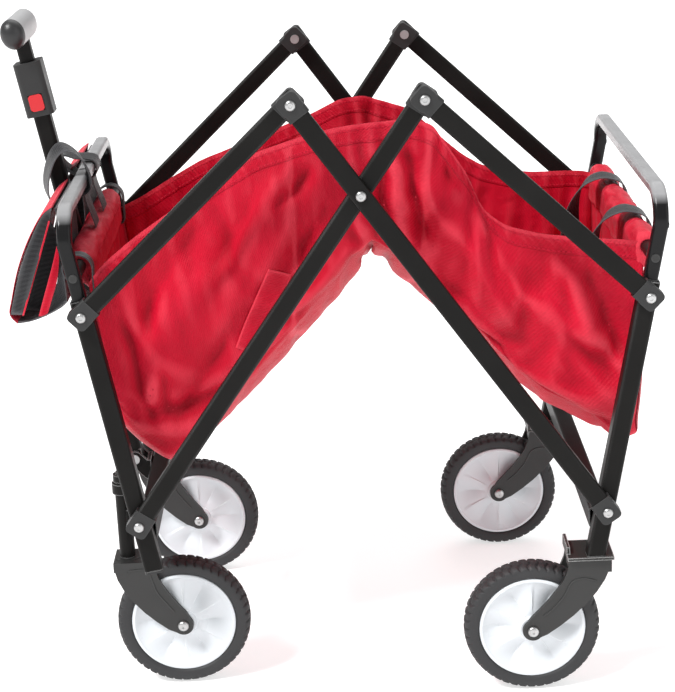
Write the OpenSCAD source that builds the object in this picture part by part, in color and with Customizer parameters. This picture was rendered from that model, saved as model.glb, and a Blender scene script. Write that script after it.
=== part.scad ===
// Folding utility wagon with a telescopic pull handle, standing half folded.
// Millimetres. +Z is up, -X is the front (handle end), -Y is the wagon's left side.
// Each side is a scissor of two struts with two upper links, hinged to an end frame
// at the front (on swivel casters) and an end frame at the rear (on fixed forks).

/* [Linkage] */
// Overall width over the strut bolts
frame_w = 520; // [440:2:600]
// Strut length from the lower pivot to the scissor pivot
strut_low = 476; // [420:2:540]
// Strut length from the scissor pivot to the top pivot
strut_high = 127; // [100:1:150]
// Link length between its two pivots
link_len = 341; // [325:1:355]
// Distance between the two pivots of an end post
post_len = 263; // [250:1:280]
// Angle of the struts above the ground
fold_angle = 54.84; // [45:0.1:62]
// Height of the lower pivots above the ground
pivot_z = 240; // [225:1:260]

/* [Tubes] */
// Height of the flat strut and link tube
tube_h = 22; // [18:0.5:26]
// Thickness of the flat strut and link tube
tube_t = 12; // [10:0.5:14]
// Depth of the end post tube across the wagon
post_t = 20; // [16:0.5:22]
// Wall of every steel tube
wall = 1.4; // [1:0.1:2]

/* [Wheels] */
// Outer radius of the tyre
tyre_r = 82; // [70:1:90]
// Radius of the white wheel body
disc_r = 64.5; // [55:0.5:70]
// Width of the tyre
tyre_w = 30; // [24:1:32]
// Distance between the front wheel centres
front_track = 324; // [300:2:330]
// Distance between the rear wheel centres
rear_track = 432; // [426:2:440]

/* [Handle] */
// Width of the lower handle tube
pole_w = 21; // [18:0.5:24]
// Length of the lower handle tube above its pivot
pole_len = 462; // [400:2:500]
// Length of the telescopic travel
travel = 300; // [200:10:320]
// Length of the T grip
grip_len = 126; // [100:2:140]

/* [Bag] */
// Width of the fabric bag
bag_w = 400; // [300:2:404]
// Thickness of the fabric shell
cloth = 3; // [2:0.5:4]

/* [Hidden] */
$fn = 64;

// Pivots in the side plane, as [x, z] measured from the point under the scissor pivot
low_dx = strut_low * cos(fold_angle);
cross_z = pivot_z + strut_low * sin(fold_angle);
apex_dx = strut_high * cos(fold_angle);
apex_z = cross_z + strut_high * sin(fold_angle);
LOW_F = [-low_dx, pivot_z];
LOW_R = [low_dx, pivot_z];
CROSS = [0, cross_z];
TOP_F = [-apex_dx, apex_z];
TOP_R = [apex_dx, apex_z];
// The post pivot closes the four-bar: link_len from the apex and post_len from the low pivot
span = norm(TOP_F - LOW_F);
to_apex = atan2(apex_z - pivot_z, low_dx - apex_dx);
at_low = acos((post_len * post_len + span * span - link_len * link_len) / (2 * post_len * span));
post_dir = to_apex + at_low;
POST_F = LOW_F + post_len * [cos(post_dir), sin(post_dir)];
POST_R = [-POST_F[0], POST_F[1]];
lean = post_dir - 90;

// Points on the line of the front posts, by distance above the upper pivot or by height
function on_post(s) = POST_F + s * [cos(post_dir), sin(post_dir)];
function z_on_post(z) = on_post((z - POST_F[1]) / sin(post_dir));

// Layers across the wagon: the outer faces of the three tube layers
gap = 2;
bolt_proud = 3.4;
cap_t = 0.6;
outer_y = frame_w / 2 - bolt_proud - cap_t;
layer1_y = outer_y - tube_t / 2;
layer2_y = layer1_y - tube_t - gap;
rear_post_y = outer_y - tube_t - gap - post_t / 2;
front_post_y = layer2_y - tube_t / 2 - gap - post_t / 2;

// Fasteners
bolt_r = 3.4;
bolt_hole_r = 3.5;
bolt_head_r = 5.8;

// End caps of the struts and links
cap_w = 26;
cap_in = 17;
cap_out = 12.5;

// End frames
post_w = 22;
post_foot_z = 176;
rear_foot_z = 178;
bend_z = 578;
hoop_top_z = 613;
hoop_w = 17;
hoop_t = 14;
hoop_bend_r = 34;
upper_bar_r = 8;
sleeve_r = 15;
screw_s = 42;
bar_w = 23;
bar_h = 24;
bar_z = 208;
bar_dx = 6;

// Running gear
front_axle_x = -236;
rear_axle_x = 188;
stem_x = -300;
stem_r = 9.5;
stem_top_z = 254;
stem_cap_r = 12.5;
crown_z = 158;
crown_t = 10;
crown_len = 50;
rear_shift = 14;
plate_t = 4;
swivel_r = 6;
arm_t = 5;
arm_gap = 2;
arm_in = tyre_w / 2 + arm_gap;
arm_out = arm_in + arm_t;
axle_r = 4;
run_gap = 0.06;
hub_half = tyre_w / 2 + arm_gap - 0.4;

// Fork arm in the side plane, measured from the axle towards the crown
arm_end_r = 12.5;
ARM = [[-9, 8.7], [-5, 17], [4, 28], [13, 40], [21, 53], [27, 66], [30, 78], [30, 92],
  [80, 92], [80, 80], [76, 64], [69, 49], [59, 34], [46, 19], [32, 6], [18, -5], [8, -9.6]];

// Handle, measured along its own axis from the pivot
hinge_x = -300;
hinge_z = 238;
collar_s0 = pole_len - 4;
collar_len = 66;
collar_w = 34;
button_w = 17;
button_h = 20;
button_s = 17;
inner_w = 17.4;
inner_tail = travel + 30;
grip_s = 564;
grip_r = 16;

// Cup pouches, as a side view
POUCH = [[-348.5, 600], [-360, 598], [-422, 480], [-414, 456], [-362, 466], [-351, 592]];
POUCH_IN = [[-354, 585], [-361, 585], [-417.5, 479], [-411, 460.5], [-365, 469.3]];

// Origin: on the ground under the middle of the object's whole length
front_x = min(POUCH[2][0], hinge_x - grip_s * sin(lean) - grip_r);
back_x = -z_on_post(bend_z)[0] + hoop_w / 2;
origin_x = (front_x + back_x) / 2;

// ---- helpers -------------------------------------------------------------

// Both sides of the wagon: the child is drawn for the right side and mirrored
module both() {
  children();
  mirror([0, 1, 0]) children();
}

// The right side as drawn, or its mirror image on the left
module side(left) {
  mirror([0, left ? 1 : 0, 0]) children();
}

// Rectangle with round corners, built from squares and circles
module round_rect(w, h, r) {
  square([w - 2 * r, h], center = true);
  square([w, h - 2 * r], center = true);
  for (sx = [-1, 1], sy = [-1, 1])
    translate([sx * (w / 2 - r), sy * (h / 2 - r)]) circle(r);
}

// Two discs joined by a straight-sided web, in the plane of the discs
module web(p, q, rp, rq) {
  d = q - p;
  n = [-d[1], d[0]] / norm(d);
  translate(p) circle(rp);
  translate(q) circle(rq);
  polygon([p + n * rp, q + n * rq, q - n * rq, p - n * rp]);
}

// Solid plate from a side-view outline, between two depths
module plate(y0, y1) {
  translate([0, y1, 0]) rotate([90, 0, 0]) linear_extrude(y1 - y0) children();
}

// Places children on the line p to q, with local X along the line
module along(p, q, y) {
  d = q - p;
  translate([p[0], y, p[1]]) rotate([0, -atan2(d[1], d[0]), 0]) children();
}

// Rod along Y at a side-view point
module rod(p, r, y0, y1) {
  translate([p[0], y1, p[1]]) rotate([90, 0, 0]) cylinder(h = y1 - y0, r = r);
}

// Rectangular tube section, extruded along local X from x0 to x1
module tube_x(x0, x1, h, t, r) {
  translate([x0, 0, 0]) rotate([90, 0, 90]) linear_extrude(x1 - x0) round_rect(t, h, r);
}

module hollow_x(x0, x1, h, t, r) {
  difference() {
    tube_x(x0, x1, h, t, r);
    tube_x(x0 - 1, x1 + 1, h - 2 * wall, t - 2 * wall, r - wall / 2);
  }
}

// Flat tube between two pivots with a bolt hole at each and at any point between
module flat_bar(p, q, y, holes) {
  len = norm(q - p);
  difference() {
    along(p, q, y) hollow_x(-10, len + 10, tube_h, tube_t, 3);
    for (h = holes) rod(h, bolt_hole_r, y - tube_t, y + tube_t);
  }
}

// Moulded cap over the end of a flat tube at pivot p, the tube running towards q
module end_cap(p, q, y) {
  difference() {
    along(p, q, y) difference() {
      union() {
        tube_x(-cap_out + 5, cap_in, cap_w, tube_t + 2 * cap_t, 3);
        rotate([90, 0, 0]) translate([0, 0, -tube_t / 2 - cap_t])
          linear_extrude(tube_t + 2 * cap_t) translate([-cap_out / 2 + 5, 0])
            round_rect(cap_out + 10, cap_w, 6);
      }
      tube_x(-10, cap_in + 1, tube_h, tube_t, 3);
    }
    rod(p, bolt_hole_r, y - tube_t, y + tube_t);
  }
}

// Domed bolt through the layers from y_in to y_out, with a nut on the inner end
module dome_bolt(p, y_in, y_out) {
  rod(p, bolt_r, y_in - 1.5, y_out + 0.5);
  rod(p, bolt_head_r, y_out, y_out + 1.2);
  rod(p, bolt_head_r - 0.8, y_out, y_out + 2.2);
  rod(p, bolt_head_r - 2.4, y_out, y_out + bolt_proud - 0.4);
  difference() {
    rod(p, bolt_head_r, y_in - bolt_proud, y_in);
    rod(p, bolt_r, y_in - bolt_proud - 1, y_in - 1);
  }
}

// ---- end frames ----------------------------------------------------------

// One post tube, from foot_z to just above its upper pivot, in front-end coordinates
module post(y, foot_z) {
  foot = z_on_post(foot_z);
  top = on_post(15);
  difference() {
    along(foot, top, y) hollow_x(0, norm(top - foot), post_w, post_t, 3.5);
    for (p = [LOW_F, POST_F]) rod(p, bolt_hole_r, y - post_t, y + post_t);
  }
}

// Push hoop: two legs in line with the posts, a slight bend, round corners and a top bar
module hoop(y) {
  knee = z_on_post(bend_z);
  leg_foot = on_post(-26);
  leg_len = norm(knee - leg_foot);
  corner_z = hoop_top_z - hoop_bend_r;
  difference() {
    union() {
      both() {
        // straight leg in line with the post
        along(leg_foot, knee, y) tube_x(22, leg_len, hoop_w, hoop_t, 4.5);
        along(leg_foot, knee, y) tube_x(0, 40, hoop_w - 0.2, hoop_t, 4.5);
        // upright part above the knee
        translate([knee[0], y, knee[1] - 1]) linear_extrude(corner_z - knee[1] + 1)
          round_rect(hoop_w, hoop_t, 4.5);
        // filler of the knee bend
        intersection() {
          rod(knee, hoop_w / 2, y - hoop_t / 2, y + hoop_t / 2);
          translate([knee[0], y, knee[1]]) cube([60, hoop_t - 3, 60], center = true);
        }
        // round corner into the top bar
        translate([knee[0], y - hoop_bend_r, corner_z]) rotate([90, 0, 90])
          rotate_extrude(angle = 90) translate([hoop_bend_r, 0])
            round_rect(hoop_t, hoop_w, 4.5);
      }
      // top bar
      translate([knee[0], -(y - hoop_bend_r), hoop_top_z]) rotate([-90, 0, 0])
        linear_extrude(2 * (y - hoop_bend_r)) round_rect(hoop_w, hoop_t, 4.5);
    }
    both() rod(on_post(screw_s), 2.6, y - hoop_t, y + hoop_t);
  }
}

module upper_bar(y) {
  difference() {
    rod(on_post(screw_s), upper_bar_r, -y + hoop_t / 2, y - hoop_t / 2);
    both() rod(on_post(screw_s), 2.55, y - 30, y);
  }
}

module hoop_screws(y) {
  both() {
    rod(on_post(screw_s), 2.5, y - 28, y + hoop_t / 2 + 0.5);
    rod(on_post(screw_s), 5, y + hoop_t / 2, y + hoop_t / 2 + 1.2);
    rod(on_post(screw_s), 4, y + hoop_t / 2, y + hoop_t / 2 + 2.2);
  }
}

module lower_bar(y) {
  x = LOW_F[0] + bar_dx;
  translate([x, -y + post_t / 2, bar_z + bar_h / 2]) rotate([-90, 0, 0]) difference() {
    linear_extrude(2 * y - post_t) round_rect(bar_w, bar_h, 3);
    translate([0, 0, -1]) linear_extrude(2 * y - post_t + 2)
      round_rect(bar_w - 2 * wall, bar_h - 2 * wall, 2);
  }
}

module post_plugs(y, foot_z) {
  foot = z_on_post(foot_z);
  both() along(foot, LOW_F, y) {
    tube_x(-3, 0, post_w, post_t, 3.5);
    tube_x(0, 14, post_w - 2 * wall, post_t - 2 * wall, 2.8);
  }
}

// ---- front end -----------------------------------------------------------

module front_posts() {
  color("#1b1b1d") both() post(front_post_y, post_foot_z);
}

module front_hoop() {
  color("#141416") hoop(front_post_y);
}

module front_upper_bar() {
  color("#1b1b1d") upper_bar(front_post_y);
}

module front_lower_bar() {
  color("#1b1b1d") lower_bar(front_post_y);
}

module front_post_plugs() {
  color("#2b2b2e") post_plugs(front_post_y, post_foot_z);
}

// Bolts of the low front pivots, carried by the posts
module front_pivot_bolts() {
  color("silver") both()
    dome_bolt(LOW_F, front_post_y - post_t / 2, layer2_y + tube_t / 2 + cap_t + 0.3);
}

module front_hoop_screws() {
  color("#1b1b1d") hoop_screws(front_post_y);
}

// Upright sleeves for the caster pins, welded to the front of the lower bar
module caster_stems() {
  y = front_track / 2;
  bar_x = LOW_F[0] + bar_dx - bar_w / 2;
  color("#1b1b1d") both() difference() {
    union() {
      translate([stem_x, y, crown_z + crown_t + 1])
        cylinder(h = stem_top_z - crown_z - crown_t - 1, r = stem_r);
      // grooved cap in two tiers
      translate([stem_x, y, stem_top_z - 1]) cylinder(h = 13, r = stem_cap_r);
      translate([stem_x, y, stem_top_z + 10]) cylinder(h = 6, r = stem_r - 1);
      translate([stem_x, y, stem_top_z + 14]) cylinder(h = 9, r = stem_cap_r - 2);
      translate([stem_x, y, stem_top_z + 22]) cylinder(h = 4, r = stem_r - 2.5);
      translate([stem_x, y - 9, bar_z]) cube([bar_x - stem_x, 18, bar_h]);
    }
    translate([stem_x, y, 0]) cylinder(h = stem_top_z - 3, r = swivel_r + run_gap);
  }
}

// Clevis for the handle on the front of the lower bar
module handle_yoke() {
  bar_x = LOW_F[0] + bar_dx - bar_w / 2;
  ear_in = pole_w / 2 + 0.6;
  ear_t = 4;
  color("#232326") difference() {
    union() {
      both() plate(ear_in, ear_in + ear_t)
        web([hinge_x, hinge_z], [bar_x - 2, hinge_z - 19], 10, 10);
      translate([bar_x - 5, -ear_in - ear_t, bar_z - 2]) cube([5, 2 * (ear_in + ear_t), bar_h + 6]);
    }
    both() rod([hinge_x, hinge_z], 4.1, 0, 40);
    translate([bar_x, -60, 0]) cube([60, 120, 400]);
  }
}

module handle_pivot_bolt() {
  half = pole_w / 2 + 4.6;
  color("silver") {
    rod([hinge_x, hinge_z], 4, -half - 1, half + 1);
    both() rod([hinge_x, hinge_z], 6.5, half, half + 3);
  }
}

// ---- casters and wheels ----------------------------------------------------

// Curved arm with a round axle end; shift moves its top away from the axle
module fork_arm(shift) {
  circle(arm_end_r);
  polygon([for (p = ARM) [p[0] + shift * p[1] / ARM[8][1], p[1]]]);
}

module arm_pair(axle, y, shift, flip) {
  for (s = [-1, 1])
    plate(y + s * (arm_in + arm_t / 2) - arm_t / 2, y + s * (arm_in + arm_t / 2) + arm_t / 2)
      translate(axle) mirror([flip ? 1 : 0, 0]) fork_arm(shift);
}

module caster_fork(left) {
  y = front_track / 2;
  axle = [front_axle_x, tyre_r];
  crown_x = front_axle_x - ARM[8][0];
  color("#2d2e31") side(left) difference() {
    union() {
      arm_pair(axle, y, 0, true);
      translate([crown_x, y - arm_out, crown_z - 2]) cube([crown_len, 2 * arm_out, crown_t + 2]);
      translate([stem_x, y, crown_z + 2]) cylinder(h = crown_t - 1.3, r = 16);
      translate([stem_x, y, crown_z]) cylinder(h = stem_top_z - crown_z - 6, r = swivel_r);
    }
    // flat top of the crown
    translate([stem_x - 60, y - 60, crown_z + crown_t]) difference() {
      cube([120, 120, 30]);
      translate([60, 60, -1]) cylinder(h = 32, r = 16);
    }
    // room for the tyre under the crown
    rod([front_axle_x, tyre_r], tyre_r + 3, y - arm_in, y + arm_in);
    rod(axle, axle_r + run_gap, y - 60, y + 60);
  }
}

module axle_bolt(x, y) {
  axle = [x, tyre_r];
  rod(axle, axle_r, y - arm_out - 1, y + arm_out + 1);
  for (s = [-1, 1]) {
    rod(axle, 6.4, y + s * (arm_out + 1) - 1, y + s * (arm_out + 1) + 1);
    rod(axle, 4.6, y + s * (arm_out + 2) - 1.6, y + s * (arm_out + 2) + 1.6);
  }
}

module caster_axle(left) {
  color("silver") side(left) axle_bolt(front_axle_x, front_track / 2);
}

module wheel_body(x, y) {
  half = tyre_w / 2;
  color("white") translate([x, y, tyre_r]) rotate([90, 0, 0]) rotate_extrude()
    polygon([[axle_r + run_gap, -hub_half], [14, -hub_half], [15, -half + 4], [52, -half + 1],
      [disc_r - 4, -half + 1], [disc_r, -half + 5], [disc_r, half - 5], [disc_r - 4, half - 1],
      [52, half - 1], [15, half - 4], [14, hub_half], [axle_r + run_gap, hub_half]]);
}

module tyre(x, y) {
  half = tyre_w / 2;
  color("#1c1c1c") translate([x, y, tyre_r]) rotate([90, 0, 0]) rotate_extrude($fn = 96)
    polygon([[disc_r + 0.02, -half + 3], [disc_r + 3, -half + 0.5], [tyre_r - 7, -half],
      [tyre_r - 2, -half + 4], [tyre_r, -half + 9], [tyre_r, half - 9], [tyre_r - 2, half - 4],
      [tyre_r - 7, half], [disc_r + 3, half - 0.5], [disc_r + 0.02, half - 3]]);
}

// ---- rear end ------------------------------------------------------------

module rear() {
  mirror([1, 0, 0]) children();
}

module rear_posts() {
  color("#1b1b1d") rear() both() difference() {
    post(rear_post_y, rear_foot_z - 5);
    translate([-400, 0, 0]) cube([400, 400, rear_foot_z]);
  }
}

module rear_hoop() {
  color("#141416") rear() hoop(rear_post_y);
}

module rear_upper_bar() {
  color("#1b1b1d") rear() upper_bar(rear_post_y);
}

module rear_lower_bar() {
  color("#1b1b1d") rear() lower_bar(rear_post_y);
}

// The rear posts end in their brackets, so only their upper ends are plugged
module rear_post_plugs() {
  color("#2b2b2e") rear() both() along(POST_F, on_post(20), rear_post_y)
    for (s = [-1, 1])
      translate([0, s * (hoop_t / 2 + (post_t - 2 * wall - hoop_t) / 4), 0])
        tube_x(6, 17, post_w - 2 * wall - 6, (post_t - 2 * wall - hoop_t) / 2, 0.6);
}

module rear_hoop_screws() {
  color("#1b1b1d") rear() hoop_screws(rear_post_y);
}

// Folded steel plates welded under the rear posts, turned up at the front
module rear_brackets() {
  y = rear_track / 2;
  inner = y - arm_out - 3;
  outer = rear_post_y + post_t / 2 + 2;
  x0 = rear_axle_x + ARM[7][0] + rear_shift - 3;
  color("#6f7074") both() {
    translate([x0, inner, rear_foot_z - plate_t]) cube([crown_len + 5, outer - inner, plate_t]);
    translate([x0, inner, rear_foot_z]) cube([4, outer - inner - 12, 9]);
  }
}

module rear_forks() {
  y = rear_track / 2;
  axle = [rear_axle_x, tyre_r];
  crown_x = rear_axle_x + ARM[7][0] + rear_shift;
  top_z = rear_foot_z - plate_t;
  color("#2d2e31") both() difference() {
    union() {
      arm_pair(axle, y, rear_shift, false);
      translate([crown_x, y - arm_out, crown_z - 2]) cube([crown_len, 2 * arm_out, top_z - crown_z + 2]);
    }
    rod(axle, axle_r + run_gap, y - 60, y + 60);
  }
}

module rear_axles() {
  color("silver") both() axle_bolt(rear_axle_x, rear_track / 2);
}

// ---- struts and links ------------------------------------------------------

module front_strut(left) {
  color("#1b1b1d") side(left) flat_bar(LOW_F, TOP_R, layer2_y, [LOW_F, CROSS, TOP_R]);
}

module rear_strut(left) {
  color("#1b1b1d") side(left) flat_bar(LOW_R, TOP_F, layer1_y, [LOW_R, CROSS, TOP_F]);
}

module front_strut_caps() {
  color("#2b2b2e") both() {
    end_cap(LOW_F, CROSS, layer2_y);
    end_cap(TOP_R, CROSS, layer2_y);
  }
}

module rear_strut_caps() {
  color("#2b2b2e") both() {
    end_cap(LOW_R, CROSS, layer1_y);
    end_cap(TOP_F, CROSS, layer1_y);
  }
}

// Bolts carried by the front struts: the scissor pivots and the rear tops
module scissor_bolts() {
  inner = layer2_y - tube_t / 2;
  color("silver") both() {
    dome_bolt(CROSS, inner, layer1_y + tube_t / 2 + 0.3);
    dome_bolt(TOP_R, inner - cap_t, layer1_y + tube_t / 2 + cap_t + 0.3);
  }
}

// Bolts carried by the rear struts: the front tops and the low rear pivots
module rear_pivot_bolts() {
  outer = layer1_y + tube_t / 2 + cap_t;
  color("silver") both() {
    dome_bolt(TOP_F, layer2_y - tube_t / 2 - cap_t - 0.3, outer);
    dome_bolt(LOW_R, rear_post_y - post_t / 2 - 0.3, outer);
  }
}

module front_links() {
  color("#1b1b1d") both() flat_bar(TOP_F, POST_F, layer2_y, [TOP_F, POST_F]);
}

module rear_links() {
  color("#1b1b1d") both() flat_bar(TOP_R, POST_R, layer1_y, [TOP_R, POST_R]);
}

module front_link_caps() {
  color("#2b2b2e") both() {
    end_cap(TOP_F, POST_F, layer2_y);
    end_cap(POST_F, TOP_F, layer2_y);
  }
}

module rear_link_caps() {
  color("#2b2b2e") both() {
    end_cap(TOP_R, POST_R, layer1_y);
    end_cap(POST_R, TOP_R, layer1_y);
  }
}

// The bolt at the post end of each link stops short of the post
module stub_bolt(p, y) {
  outer = y + tube_t / 2 + cap_t;
  rod(p, bolt_r, y - tube_t / 2 - cap_t - 0.5, outer + 0.5);
  rod(p, bolt_head_r, outer, outer + 1.2);
  rod(p, bolt_head_r - 0.8, outer, outer + 2.2);
  rod(p, bolt_head_r - 2.4, outer, outer + bolt_proud - 0.4);
}

module front_link_bolts() {
  color("silver") both() stub_bolt(POST_F, layer2_y);
}

module rear_link_bolts() {
  color("silver") both() stub_bolt(POST_R, layer1_y);
}

// ---- handle --------------------------------------------------------------

// Local frame of the handle: Z along the pole, from the pivot
module on_handle() {
  translate([hinge_x, 0, hinge_z]) rotate([0, -lean, 0]) children();
}

module handle_tube() {
  color("#1b1b1d") on_handle() difference() {
    union() {
      translate([0, 0, 8]) linear_extrude(pole_len - 8) round_rect(pole_w, pole_w, 5);
      rod([0, 0], 10, -pole_w / 2, pole_w / 2);
      translate([-10, -pole_w / 2, 0]) cube([20, pole_w, 10]);
    }
    translate([0, 0, 20]) linear_extrude(pole_len) round_rect(pole_w - 2 * wall, pole_w - 2 * wall, 4);
    rod([0, 0], 4.1, -30, 30);
  }
}

// Collar that holds the lock button at the top of the lower tube
module handle_collar() {
  color("#4a4b4f") on_handle() difference() {
    translate([0, 0, collar_s0]) linear_extrude(collar_len) round_rect(collar_w, collar_w, 6);
    translate([0, 0, collar_s0 - 1]) linear_extrude(5) round_rect(pole_w, pole_w, 5);
    translate([0, 0, collar_s0 - 1]) linear_extrude(collar_len + 2)
      round_rect(inner_w + 0.8, inner_w + 0.8, 4);
    translate([-button_w / 2 - 0.3, -collar_w / 2 - 1, collar_s0 + button_s - button_h / 2 - 0.3])
      cube([button_w + 0.6, 7, button_h + 0.6]);
  }
}

module handle_button() {
  color("#d8232a") on_handle()
    translate([0, -collar_w / 2 + 2, collar_s0 + button_s]) rotate([90, 0, 0])
      linear_extrude(3.6) round_rect(button_w, button_h, 4);
}

module button_spring() {
  turns = 3;
  wire = 0.4;
  y0 = -collar_w / 2 + 2.02 + wire;
  y1 = -collar_w / 2 + 5.98 - wire;
  steps = 12 * turns;
  ring = 6;
  pts = [for (i = [0:steps]) let (a = 360 * i * turns / steps, t = i / steps)
    for (k = [0:ring - 1]) let (b = 360 * k / ring, rr = 4 + wire * cos(b))
      [rr * cos(a), y0 + (y1 - y0) * t + wire * sin(b), collar_s0 + button_s + rr * sin(a)]];
  sides = [for (i = [0:steps - 1], k = [0:ring - 1])
    [i * ring + k, i * ring + (k + 1) % ring, (i + 1) * ring + (k + 1) % ring, (i + 1) * ring + k]];
  ends = [[for (k = [ring - 1:-1:0]) k], [for (k = [0:ring - 1]) steps * ring + k]];
  color("silver") on_handle() polyhedron(pts, concat(sides, ends));
}

module handle_inner_tube() {
  color("#1b1b1d") on_handle() difference() {
    translate([0, 0, grip_s - inner_tail - 60]) linear_extrude(inner_tail + 60)
      round_rect(inner_w, inner_w, 4);
    translate([0, 0, grip_s - inner_tail - 61]) linear_extrude(inner_tail + 40)
      round_rect(inner_w - 2 * wall, inner_w - 2 * wall, 2.6);
  }
}

// Egg-ended T grip, turned about Y
module handle_grip() {
  half = grip_len / 2;
  nose = 20;
  steps = 8;
  profile = [for (i = [0:steps]) let (a = 90 * i / steps)
    [grip_r * sin(a), -half + nose * (1 - cos(a))]];
  back = [for (i = [steps:-1:0]) [profile[i][0], -profile[i][1]]];
  color("#38393c") on_handle() difference() {
    translate([0, 0, grip_s]) rotate([90, 0, 0]) rotate_extrude() polygon(concat(profile, back));
    translate([0, 0, grip_s - 100]) linear_extrude(100) round_rect(inner_w, inner_w, 4);
  }
}

// ---- fabric --------------------------------------------------------------

// Underside of the bag from the front end to the rear end, as [x, z]
bag_front_top = [-316, 520];
FLOOR_F = [bag_front_top, [-290, 330], [-240, 308], [-105, 434], [-12, 545]];
FLOOR_M = [[-12, 545], [3, 560], [20, 552], [52, 516]];
FLOOR_R = [[52, 516], [155, 414], [268, 318], [290, 340], [312, 516]];
HEM_F = [[-12, 697], [-60, 690], [-128, 660], [-300, 505]];
HEM_M = [[52, 697], [20, 700], [-12, 697]];
HEM_R = [[304, 532], [140, 576], [119, 636], [78, 694], [52, 697]];

// The point a little past b on the line from a to b
function past(a, b) = b + 20 * (b - a) / norm(b - a);

// Open shell: the outline between floor and hem, hollowed from above
module bag_shell(floor, hem, cap_start, cap_end) {
  w = bag_w / 2;
  n = len(floor) - 1;
  lift = [0, cloth * 1.4];
  step = [cloth, 0];
  first = cap_start ? floor[0] + step : past(floor[1], floor[0]);
  last = cap_end ? floor[n] - step : past(floor[n - 1], floor[n]);
  middle = [for (i = [1:n - 1])
    floor[i] + (cap_start && i == 1 ? step : cap_end && i == n - 1 ? -step : [0, 0])];
  inner = [for (p = concat([first], middle, [last])) p + lift];
  difference() {
    plate(-w, w) polygon(concat(floor, hem));
    plate(-w + cloth, w - cloth)
      polygon(concat([[inner[0][0], 900]], inner, [[inner[n][0], 900]]));
  }
}

module bag_front() {
  color("#c8102e") bag_shell(FLOOR_F, HEM_F, true, false);
}

module bag_middle() {
  color("#c8102e") bag_shell(FLOOR_M, HEM_M, false, false);
}

module bag_rear() {
  color("#c8102e") bag_shell(FLOOR_R, HEM_R, false, true);
}

// Padded hem rolled around an upper bar
module sleeve(half) {
  difference() {
    rod(on_post(screw_s), sleeve_r, -half, half);
    rod(on_post(screw_s), upper_bar_r + 0.05, -half - 1, half + 1);
  }
}

module front_sleeve() {
  color("#c8102e") sleeve(168);
}

module rear_sleeve() {
  color("#c8102e") rear() sleeve(180);
}

// Webbing loops around the bars
module loop(p, y, w, r_in) {
  difference() {
    rod(p, r_in + 2, y - w / 2, y + w / 2);
    rod(p, r_in, y - w, y + w);
  }
}

module front_straps() {
  color("#1a1a1a") both() loop(on_post(screw_s), 184, 22, upper_bar_r + 0.1);
}

module rear_straps() {
  color("#1a1a1a") rear() both() loop(on_post(screw_s), 90, 38, sleeve_r + 0.1);
}

// Webbing that holds the pouches and the handle to the hoop's top bar, with a slack loop in front
module strap_outline(grow) {
  translate([z_on_post(bend_z)[0], hoop_top_z])
    round_rect(hoop_w + 0.4 + 2 * grow, hoop_t + 0.4 + 2 * grow, 4.5 + grow);
  web([-344, 617], [-366, 628], 5 + grow, 8 + grow);
}

module hoop_straps() {
  color("#1a1a1a") both() plate(24, 62) difference() {
    strap_outline(2);
    strap_outline(0);
  }
}

// Two cup pouches hung in front of the hoop, one on each side of the handle, open outwards
module cup_pouches() {
  color("#26262a") both() difference() {
    plate(32, 182) polygon(POUCH);
    plate(35, 190) polygon(POUCH_IN);
  }
}

// ---- assembly ------------------------------------------------------------

module place() {
  translate([-origin_x, 0, 0]) children();
}

place() front_posts();
place() front_hoop();
place() front_upper_bar();
place() front_lower_bar();
place() front_post_plugs();
place() front_pivot_bolts();
place() front_hoop_screws();
place() caster_stems();
place() handle_yoke();
place() handle_pivot_bolt();
place() bag_front();
place() front_sleeve();
place() cup_pouches();
place() front_straps();
place() hoop_straps();
place() caster_fork(true);  // caster_fork_left
place() caster_fork(false);  // caster_fork_right
place() caster_axle(true);  // caster_axle_left
place() caster_axle(false);  // caster_axle_right
place() wheel_body(front_axle_x, -front_track / 2);  // front_wheel_left
place() wheel_body(front_axle_x, front_track / 2);  // front_wheel_right
place() tyre(front_axle_x, -front_track / 2);  // front_tyre_left
place() tyre(front_axle_x, front_track / 2);  // front_tyre_right
place() wheel_body(rear_axle_x, -rear_track / 2);  // rear_wheel_left
place() wheel_body(rear_axle_x, rear_track / 2);  // rear_wheel_right
place() tyre(rear_axle_x, -rear_track / 2);  // rear_tyre_left
place() tyre(rear_axle_x, rear_track / 2);  // rear_tyre_right
place() rear_posts();
place() rear_hoop();
place() rear_upper_bar();
place() rear_lower_bar();
place() rear_post_plugs();
place() rear_hoop_screws();
place() rear_brackets();
place() rear_forks();
place() rear_axles();
place() bag_rear();
place() rear_sleeve();
place() rear_straps();
place() front_strut(true);  // front_strut_left
place() front_strut(false);  // front_strut_right
place() front_strut_caps();
place() scissor_bolts();
place() bag_middle();
place() rear_strut(true);  // rear_strut_left
place() rear_strut(false);  // rear_strut_right
place() rear_strut_caps();
place() rear_pivot_bolts();
place() front_links();
place() front_link_caps();
place() front_link_bolts();
place() rear_links();
place() rear_link_caps();
place() rear_link_bolts();
place() handle_tube();
place() handle_collar();
place() handle_button();
place() button_spring();
place() handle_inner_tube();
place() handle_grip();
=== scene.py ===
"""Folding wagon: detailed fabric, wheels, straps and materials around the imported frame. Metres, Z up."""
import bpy
import bmesh
import math
import numpy as np
from mathutils import Matrix, Vector, noise


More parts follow.
